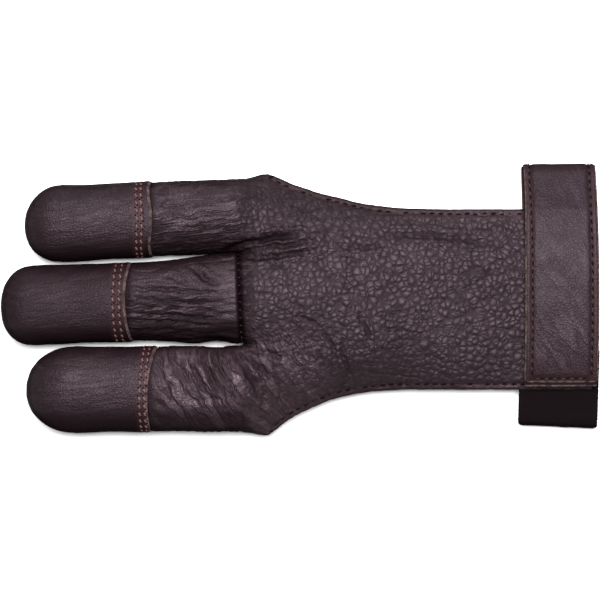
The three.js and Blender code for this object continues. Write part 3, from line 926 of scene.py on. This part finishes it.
def makeMiddleSleeve():
    bm = bmesh.new()
    root = -leather["gap"]
    start = -middle["capEdge"] - hand["tuckLength"]
    addPattern(bm, (start, 0), (root, turn), meshRows["middleSleeve"], turn * fine * 2)

    def pointAt(x, column):
        angle = column * math.pi / half
        palmSide = smoothstep(-math.sin(angle), 0, 1)
        point = sleevePoint(middle, x, angle)
        point.x += smoothstep(x, -middle["capEdge"] / 2, root) * palmSide * hand["middlePalmReach"]
        point.x += seamLean(x, column + half) * (1 - palmSide)
        return point

    def reliefAt(vert, x, column):
        spot = vert.co
        crease, fold = creaseAt(spot.x, spot.y)
        top = smoothstep(math.sin(column * math.pi / half), -0.1, 0.3)
        fromSeam = root - x
        below = lineY(middle, spot.x) - spot.y
        rise = crease * smoothstep(vert.normal.z, 0, 0.5) + noise.noise(spot / 12) * 0.3
        rise += wrinkle(spot.x, spot.y, spot.z, (14, 2.2)) * relief["middleWrinkles"]
        bands = noise.noise((spot.x / 9, spot.y / 1.3, 4))
        rise += relief["middleSlack"] * bands * smoothstep(-spot.y, -4, 2)
        rise += top * (0.12 * hill(fromSeam - 1.5, 0.6) - hand["seamDepth"] * hill(fromSeam, 0.5))
        rise += swellAt(spot, vert.normal.y)
        rise -= hollowAt(spot, -vert.normal.y, fromSeam, relief["middleHollow"])
        # Painted shade in the seam, just beyond the cap's edge, and on the sleeve's low side
        fold = max(fold * 0.75, top * hill(fromSeam, 0.6) * 0.8)
        fold = max(fold, relief["capEdgeShade"] * hill(x + middle["capEdge"], 1.4))
        fold = max(fold, relief["middleLowSideShade"] * smoothstep(below, 4, 10))
        plain = 0.6 * hill(fromSeam, 5)
        low = smoothstep(below, -4, 2) * smoothstep(fromSeam, 3, 13)
        marks = {
            "pebble": 0.55 * (1 - plain), "fineGrain": 1, "fold": fold,
            "pulledAlong": 0.12 + 0.75 * low,
        }
        return rise, marks

    bendPattern(bm, pointAt)
    finishLeather(bm, "middleSleeve", reliefAt, "grain_leather", "middle_sleeve", leather["back"])


capLook = {
    "edgeWidth": 1.0,  # how much of the cut edge shows
    "edgeDepth": 0.4,  # how far it is rounded off
    "tipStretch": 1.35,  # how much longer the pattern is than the tip that it is bent to
    "rowLength": 0.42,
    "columns": 6,  # mesh columns in a pattern column
    "grooveDepth": 0.22,
    "grooveWidth": 0.6,
    # painted shade on a cap's low side
    "lowSideShade": 0.8,
    "barrel": 0.01,  # how much the straight part swells
}


# Where a row of stitches lies along a finger, at an angle round it
def rowX(finger, row, angle):
    return -finger["capEdge"] + edgeWave(finger, angle) / 2 - row


def makeCap(name, finger):
    bm = bmesh.new()
    tipRun = finger["tipLength"] * capLook["tipStretch"]
    bodyRun = finger["reach"] - finger["tipLength"] - finger["capEdge"]
    wholeRun = tipRun + bodyRun
    rows = int(wholeRun / capLook["rowLength"])
    addPattern(bm, (0, 0), (wholeRun, turn), rows, turn * capLook["columns"])
    widest = finger["height"] / 2

    def pointAt(run, column):
        angle = column * math.pi / half
        tip = clamp(run / tipRun) * math.pi / 2
        share = clamp((run - tipRun) / bodyRun)
        size = power(math.sin(tip), tipRoundness)
        if run >= tipRun:
            size = 1 + capLook["barrel"] * math.cos(6 * share)
        x = -finger["reach"] + finger["tipLength"] * (1 - power(math.cos(tip), tipRoundness))
        x += share * (bodyRun + edgeWave(finger, angle))
        up = math.sin(angle) > 0
        roundness = backRoundness if up else palmRoundness
        depth = widest * (size if up else min(size, 1))
        y = lineY(finger, x) + finger["capWidth"] / 2 * size * power(math.cos(angle), roundness)
        return Vector((x, y, widest + depth * power(math.sin(angle), roundness)))

    def reliefAt(vert, run, column):
        spot = vert.co
        angle = column * math.pi / half
        fromEdge = -finger["capEdge"] + edgeWave(finger, angle) - spot.x
        rise = noise.noise(spot / 9) * 0.22 + noise.noise((spot.x / 12, spot.y / 2.5, 3)) * 0.12
        rise *= smoothstep(fromEdge, 5, 12)
        stain = 0
        for row in finger["stitchRows"]:
            away = rowX(finger, row, angle) - spot.x
            rise += stitchGroove(away, capLook["grooveDepth"], capLook["grooveWidth"])
            stain = max(stain, 0.8 * hill(away, 0.9))
        rise -= capLook["edgeDepth"] * (1 - smoothstep(fromEdge, -0.2, capLook["edgeWidth"]))
        # Painted shade on the cap's low side, away from the light
        shadedLowSide = smoothstep(lineY(finger, spot.x) - spot.y, 4, 11)
        marks = {
            "pebble": 0.6, "fineGrain": 1, "stain": stain,
            "fold": max(finger["dullness"], capLook["lowSideShade"] * shadedLowSide),
            "pulledAlong": 0.15 * smoothstep(fromEdge, 4, 10),
        }
        return rise, marks

    bendPattern(bm, pointAt)
    showCutEdge(bm, wholeRun - capLook["edgeWidth"])
    return finishLeather(bm, f"{name}Cap", reliefAt, "smooth_leather", f"{name}_cap", leather["cap"])


backTree = makeBack()
makeMiddleSleeve()
capTrees = {name: makeCap(name, finger) for name, finger in fingers.items()}
print("back, sleeve and caps made")

# The strap's line along the glove, and how far it reaches across it, over and under
strapMiddle = back["length"] + loop["strapBeyond"] - loop["strapWidth"] / 2
strapHalfY = back["wristWidth"] / 2 + loop["strapOverhang"]
strapPalmEnd = strapHalfY - loop["strapPalmLength"]
# Points along the parts of the strap's and the elastic's lines, and how many of its fold's
# points the strap leaves out where it rises to the panel
lineSteps = {"fold": 24, "foldOpen": 3, "palm": 30, "rise": 12, "over": 60, "elastic": 40}


def bowAt(y):
    return loop["strapBow"] * (1 - (y / strapHalfY) ** 2)


def panelTop(y):
    return archPoint(back["length"], clamp(2 * y / back["wristWidth"], -1, 1)).z


def underPanel(y):
    return panelTop(y) - leather["back"] - leather["gap"]


def strapTop(y):
    return panelTop(y) + 2 * leather["gap"] + loop["tapeThickness"] + loop["strapThickness"]


# Points round a fold, from below to above, on a side of the loop
def foldPoints(side, foldY, height):
    radius, steps = height / 2, lineSteps["fold"]
    angles = [(step / steps - 0.5) * math.pi for step in range(steps + 1)]
    return [(foldY - side * radius * (1 - math.cos(angle)), radius * (1 + math.sin(angle)))
            for angle in angles]


def strapLine(endInset):
    fold = foldPoints(1, strapHalfY, loop["strapFold"])[:-lineSteps["foldOpen"]]
    foldTop, wrist = fold[-1], back["wristWidth"] / 2
    freeEnd = -wrist + endInset
    palm, rise, over = lineSteps["palm"], lineSteps["rise"], lineSteps["over"]
    line = [(lerp(strapPalmEnd, fold[0][0], step / palm), 0) for step in range(palm)] + fold
    for step in range(1, rise):
        y = lerp(foldTop[0], wrist, step / rise)
        line.append((y, lerp(foldTop[1], strapTop(wrist), step / rise)))
    for step in range(over + 1):
        y = lerp(wrist, freeEnd, step / over)
        line.append((y, strapTop(y)))
    return line


def elasticLine():
    wrist, rise, steps = back["wristWidth"] / 2, lineSteps["rise"], lineSteps["elastic"]
    sewn = [lerp(-wrist + loop["bandOverlap"], -wrist, step / rise) for step in range(rise)]
    line = [(y, underPanel(y)) for y in sewn]
    foldY = -wrist - loop["elasticOverhang"]
    line += reversed(foldPoints(-1, foldY, underPanel(-wrist)))
    foldEnd, onStrap = line[-1][0], loop["strapThickness"] + leather["gap"]
    stepEnd = strapPalmEnd - leather["gap"]
    stepStart = stepEnd - loop["bandStepDown"]
    line += [(lerp(foldEnd, stepStart, step / steps), 0) for step in range(1, steps)]
    for step in range(rise):
        y = stepEnd - loop["bandStepDown"] * (1 - step / rise)
        line.append((y, onStrap * smoothstep(step / rise, 0, 1)))
    sewnEnd = strapPalmEnd + loop["bandOverlap"]
    return line + [(lerp(stepEnd, sewnEnd, step / rise), onStrap) for step in range(rise + 1)]


# The line moved inwards, to the right of its way
def insideLine(line, depth):
    moved = []
    for number, (y, z) in enumerate(line):
        before, after = line[max(number - 1, 0)], line[min(number + 1, len(line) - 1)]
        way = Vector((after[0] - before[0], after[1] - before[1])).normalized()
        moved.append((y - way.y * depth, z + way.x * depth))
    return moved


class Route:
    def __init__(self, line):
        self.line = line
        self.runs = [0]
        for before, after in zip(line, line[1:]):
            self.runs.append(self.runs[-1] + math.dist(before, after))
        self.length = self.runs[-1]

    def at(self, run):
        low = bisect_left(self.runs, run, 1, len(self.runs) - 1)
        before, after = self.line[low - 1], self.line[low]
        share = (run - self.runs[low - 1]) / (self.runs[low] - self.runs[low - 1])
        return lerp(before[0], after[0], share), lerp(before[1], after[1], share)


def strapX(y, share, endInset):
    fromEnd = clamp(y + back["wristWidth"] / 2 - endInset, 0, loop["strapCorner"])
    radius = loop["strapCorner"]
    missing = radius - math.sqrt(radius ** 2 - (radius - fromEnd) ** 2)
    return strapMiddle + bowAt(y) + share * (loop["strapWidth"] / 2 - missing)


strapLook = {
    "faceMesh": (0.55, 48),  # length of a row, and columns
    "liningMesh": (0.5, 26),
    "sideRow": 2.3,  # from the strap's edges to its rows of stitches
    "endRow": 1.1,
    "rowGap": 0.8,  # between the side rows and the one along the end
    "peekEnd": 1.2,  # how far the lining shows beyond the face
    "peekSide": 0.5,
    "liningInset": 0.2,
    "liningGap": 0.05,
    "liningCut": 0.6,  # how much of the lining's end is cut edge
    "grooveDepth": 0.35,
    "grooveWidth": 0.7,
    "edgeDepth": 0.4,
    "edgeStain": 0.5,
}


# A layer of the strap along its route: a pattern with rows of a length and some columns
def strapPattern(route, rowLength, columns):
    bm = bmesh.new()
    addPattern(bm, (0, -1), (route.length, 1), int(route.length / rowLength), columns)
    return bm


def makeStrap():
    endInset = loop["strapEndInset"] + strapLook["peekEnd"]
    outer = Route(strapLine(endInset))
    bm = strapPattern(outer, *strapLook["faceMesh"])

    # The lining shows beyond the face along its hand side, near the fold
    def peek(y, share):
        return strapLook["peekSide"] * smoothstep(y, 12, 34) * clamp(-share)

    def pointAt(run, share):
        y, z = outer.at(run)
        return Vector((strapX(y, share, endInset) + peek(y, share), y, z))

    def reliefAt(vert, run, share):
        spot = vert.co
        side, end = (1 - abs(share)) * loop["strapWidth"] / 2, outer.length - run
        margin = min(side, end)
        fromEndRow = abs(end - strapLook["endRow"]) if side > 1.5 else 9
        inset = min(abs(side - strapLook["sideRow"]), fromEndRow)
        rise = noise.noise(spot / 14) * 0.3 + noise.noise((spot.x / 3, spot.y / 9, 5)) * 0.12
        rise *= smoothstep(margin, 0, 3)
        groove = stitchGroove(inset, strapLook["grooveDepth"], strapLook["grooveWidth"])
        rise += groove - strapLook["edgeDepth"] * hill(margin, 0.5)
        marks = {
            # fold is painted shade along the stitch grooves
            "pebble": 0.6, "fineGrain": 0.8, "fold": 0.5 * hill(inset, 0.5),
            "stain": strapLook["edgeStain"] * (1 - smoothstep(margin, 1.4, 3.0)),
            # pulledDown brings streaks, and the painted highlight on them
            "pulledDown": smoothstep(margin, 2, 5) * (0.12 + 0.2 * smoothstep(-spot.y, 0, 20)),
        }
        return rise, marks

    bendPattern(bm, pointAt)
    along, across = bm.verts.layers.float["along"], bm.verts.layers.float["across"]
    for face in bm.faces:
        run = min(outer.length - vert[along] for vert in face.verts)
        side = min(1 - abs(vert[across]) for vert in face.verts)
        if run < 0.01 or side < 0.001:
            face.material_index = 2
    return finishLeather(bm, "strapFace", reliefAt, "strap_leather", "wrist_strap", loop["faceLeather"])


def makeLining():
    endInset = loop["strapEndInset"] - strapLook["liningInset"]
    depth = loop["faceLeather"] + strapLook["liningGap"]
    inner = Route(insideLine(strapLine(endInset), depth))
    bm = strapPattern(inner, *strapLook["liningMesh"])

    def pointAt(run, share):
        y, z = inner.at(run)
        return Vector((strapX(y, share, endInset), y, z))

    def reliefAt(vert, run, share):
        end = smoothstep(run, inner.length - 4, inner.length - 2)
        ripple = 0.18 * noise.noise(vert.co / 5) * end
        # The lining gets painted shade all over, through its fold mark
        return ripple, {"pebble": 0.5, "fineGrain": 1, "stain": 0.3 * end, "fold": 0.8}

    bendPattern(bm, pointAt)
    showCutEdge(bm, inner.length - strapLook["liningCut"])
    finishLeather(bm, "strapLining", reliefAt, "strap_leather", "wrist_strap", loop["liningLeather"])


elasticLook = {"scallop": 0.12, "gathers": 0.1, "thinEdge": 0.4, "rowLength": 0.6, "columns": 44}


def makeElastic():
    route = Route(elasticLine())
    wrist, width = back["wristWidth"] / 2, loop["elasticWidth"]
    foldY, sewnY = -wrist - loop["elasticOverhang"], -wrist + loop["bandOverlap"]
    middleX = strapMiddle + (loop["strapWidth"] - width) / 2 + loop["elasticShift"]
    rows = int(route.length / elasticLook["rowLength"])
    bm = bmesh.new()
    addPattern(bm, (0, -width / 2), (route.length, width / 2), rows, elasticLook["columns"])

    def pointAt(run, across):
        y, z = route.at(run)
        slanted = smoothstep(y, foldY, sewnY) - 1
        scallop = elasticLook["scallop"] * math.sin(run * 2.4) * abs(2 * across / width) ** 6
        x = middleX + bowAt(y) + across + math.copysign(scallop, across)
        return Vector((x, y + slanted * across / width * loop["elasticSlant"], z))

    def reliefAt(vert, run, across):
        phase = run * 1.9 + 2 * noise.noise((across / 4, run / 6, 0))
        gathers = elasticLook["gathers"] * math.sin(phase)
        thin = -elasticLook["thinEdge"] * (1 - smoothstep(width / 2 - abs(across), 0, 0.9))
        return gathers + thin + noise.noise(vert.co / 8) * 0.15, {}

    bendPattern(bm, pointAt)
    dressLeather(bm, reliefAt)
    finishPiece(bm, "elasticBand", (elasticWebbing,) * 3, "elastic_band",
                loop["elasticThickness"])


strapTree = makeStrap()
makeLining()
makeElastic()
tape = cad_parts["fastening_tape"]
tape.data.materials.clear()
tape.data.materials.append(tapeMaterial())
print("wrist loop made")

# Slant is in degrees, sink is how deep a stitch lies, and slot holds the half length and half width of
# the holes, dark beads of painted shade, which lie at a stitch's ends or between two stitches
stitchStyles = {
    "cap": {
        "pitch": 2.6, "length": 1.6, "thickness": 0.62, "slant": 22, "sink": 0.02,
        "slot": (0.34, 0.3), "between": False,
    },
    "edge": {
        "pitch": 2.8, "length": 1.1, "thickness": 0.46, "slant": 6, "sink": 0.18,
        "slot": (0.92, 0.36), "between": True,
    },
    "strap": {
        "pitch": 2.7, "length": 1.3, "thickness": 0.5, "slant": 8, "sink": 0.12,
        "slot": (0.72, 0.3), "between": True,
    },
}
sewing = {
    "reach": 2.5,  # no stitch lies further than this from the line that is sewn
    "unevenSlant": 8,
    "unevenLength": 0.15,
    "slotDepth": 0.16,
}


# Places along a line of points, at a steady pitch, with the way the line runs there
def walk(points, pitch):
    run = pitch / 2
    for before, after in zip(points, points[1:]):
        length = (after - before).length
        while run < length:
            yield before.lerp(after, run / length), (after - before).normalized()
            run += pitch
        run -= length


def addBead(bm, matrix, around, rings):
    made = bmesh.ops.create_uvsphere(bm, u_segments=around, v_segments=rings, radius=1, matrix=matrix)
    return made["verts"]


# A row of stitches. Raised stitches lie on the leather between small holes, and sunk ones show mostly as
# the slots that the thread pulls into it. Holes and slots are dark beads of painted shade.
def sewRow(bm, tree, points, style):
    width, slot = style["thickness"] / 2, style["slot"]
    for spot, way in walk(points, style["pitch"]):
        place, normal, _, distance = tree.find_nearest(spot)
        if place is None or distance > sewing["reach"]:
            continue
        side = normal.cross(way).normalized()
        way = side.cross(normal).normalized()
        lean = math.radians(style["slant"] + sewing["unevenSlant"] * noise.noise(spot * 3))
        along = way * math.cos(lean) + side * math.sin(lean)
        turned = Matrix((along, normal.cross(along), normal)).transposed().to_4x4()
        long = style["length"] / 2 * (1 + sewing["unevenLength"] * noise.noise(spot * 5))
        at = Matrix.Translation(place - normal * style["sink"])
        size = Matrix.Diagonal((long, width, width, 1))
        one = bmesh.new()
        addBead(one, at @ turned @ size, 10, 6)
        between = style["between"]
        shift = along * (style["pitch"] / 2 if between else long + slot[0] * 0.6)
        size = Matrix.Diagonal((slot[0], slot[1], sewing["slotDepth"], 1))
        for end in (1,) if between else (-1, 1):
            # Each slot is a bead of painted hole shade
            slotAt = Matrix.Translation(place + shift * end)
            verts = addBead(one, slotAt @ turned @ size, 8, 4)
            for face in {face for vert in verts for face in vert.link_faces}:
                face.material_index = 1
        addTo(bm, one)


# Puts one small mesh into a piece's mesh
def addTo(bm, one):
    held = meshFrom(one, "held")
    bm.from_mesh(held)
    bpy.data.meshes.remove(held)


# Points along the sewn lines
roundSteps, edgeSteps, seamSteps, strapSteps, endSteps = 96, 219, 59, 239, 30


def makeCapStitches():
    for name, finger in fingers.items():
        bm = bmesh.new()
        for row in finger["stitchRows"]:
            points = []
            size = (finger["capWidth"], finger["height"], 0)
            for step in range(roundSteps + 1):
                angle = step / roundSteps * 2 * math.pi
                x = rowX(finger, row, angle)
                points.append(sectionPoint(x, lineY(finger, x), size, angle))
            sewRow(bm, capTrees[name], points, stitchStyles["cap"])
        finishPiece(bm, f"{name}CapStitches", (thread, holeShade))


def makeEdgeStitches():
    bm = bmesh.new()
    for edge in edges.values():
        points = []
        for step in range(edgeSteps + 1):
            x = lerp(back["cornerReach"] - 2, back["length"] - 4, step / edgeSteps)
            y = edgeY(edge, x) - edge["side"] * back["stitchInset"]
            widths = edgeY(edges["ring"], x), edgeY(edges["index"], x)
            across = (2 * y - widths[0] - widths[1]) / (widths[0] - widths[1])
            points.append(archPoint(x, across))
        sewRow(bm, backTree, points, stitchStyles["edge"])
    finishPiece(bm, "edgeStitches", (darkThread, holeShade))


# Stitches deep in the finger seam
seamThread = {"pitch": 2.6, "inset": 1.1, "size": (0.34, 0.16, 0.16, 1)}


def makeSeamStitches():
    bm = bmesh.new()
    points = []
    inset = seamThread["inset"]
    size = (middle["rootWidth"] - 2 * inset, middle["height"] - 2 * inset, inset)
    for step in range(seamSteps + 1):
        angle = lerp(0.06, 0.94, step / seamSteps) * math.pi
        x = -leather["gap"] / 2 + seamLean(0, half + angle / math.pi * half)
        points.append(sectionPoint(x, 0, size, angle))
    for spot, way in walk(points, seamThread["pitch"]):
        one = bmesh.new()
        addBead(one, Matrix.Translation(spot) @ Matrix.Diagonal(seamThread["size"]), 10, 6)
        addTo(bm, one)
    finishPiece(bm, "seamStitches", (darkThread,))


def makeStrapStitches():
    bm = bmesh.new()
    route = Route(strapLine(loop["strapEndInset"] + strapLook["peekEnd"]))
    halfWidth, sideRow = loop["strapWidth"] / 2, strapLook["sideRow"]
    last = route.length - strapLook["endRow"]

    # A point on the strap, at a run along it and a share of its half width
    def spotAt(run, share):
        y, z = route.at(run)
        return Vector((strapMiddle + bowAt(y) + share * halfWidth, y, z))

    for side in (-1, 1):
        share = side * (1 - sideRow / halfWidth)
        runs = [lerp(2, last - 1.2, step / strapSteps) for step in range(strapSteps + 1)]
        sewRow(bm, strapTree, [spotAt(run, share) for run in runs], stitchStyles["strap"])
    across = 1 - (sideRow + strapLook["rowGap"]) / halfWidth
    points = [spotAt(last, lerp(-across, across, step / endSteps)) for step in range(endSteps + 1)]
    sewRow(bm, strapTree, points, stitchStyles["strap"])
    finishPiece(bm, "strapStitches", (darkThread, holeShade))


makeCapStitches()
makeEdgeStitches()
makeSeamStitches()
makeStrapStitches()
print("stitches sewn")

studio = {
    "cameraHeight": 1.4,
    "sensorWidth": 36,
    "viewWidth": 0.192,  # what the picture shows across, at half the glove's height
    "aim": (-0.0002, -0.00024, 0.01),
    "lights": {  # place, size and watts
        "softbox": ((0, 0.33, 1.5), (1.0, 0.7), 118),
        "sideLight": ((0.1, 1.2, 0.75), (1.1, 0.5), 20),
    },
    "sky": 0.45,
    "floorReach": 3,
}


def addLight(name, place, size, watts):
    light = bpy.data.lights.new(name, "AREA")
    light.shape = "RECTANGLE"
    light.size, light.size_y = size
    light.energy = watts
    lamp = addObject(name, light)
    lamp.location = place
    lamp.rotation_euler = (-Vector(place)).to_track_quat("-Z", "Y").to_euler()


def makeStudio():
    bm = bmesh.new()
    bmesh.ops.create_grid(bm, x_segments=4, y_segments=4, size=studio["floorReach"])
    floor = addObject("floor", meshFrom(bm, "floor"))
    floor.data.materials.append(floorMaterial())
    floor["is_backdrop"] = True
    for name, values in studio["lights"].items():
        addLight(name, *values)
    world = bpy.data.worlds.new("room")
    world.use_nodes = True
    sky = world.node_tree.nodes["Background"].inputs
    sky["Color"].default_value = (1, 1, 1, 1)
    sky["Strength"].default_value = studio["sky"]
    camera = bpy.data.cameras.new("camera")
    camera.sensor_width = studio["sensorWidth"]
    camera.lens = studio["sensorWidth"] * studio["cameraHeight"] / studio["viewWidth"]
    eye = addObject("camera", camera)
    aimX, aimY, aimZ = studio["aim"]
    eye.location = (aimX, aimY, aimZ + studio["cameraHeight"])
    scene = bpy.context.scene
    scene.world = world
    scene.camera = eye
    scene.view_settings.view_transform = "Standard"


makeStudio()
print("studio made")

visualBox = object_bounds()
[[list(corner) for corner in box] for box in (cadBox, visualBox)]
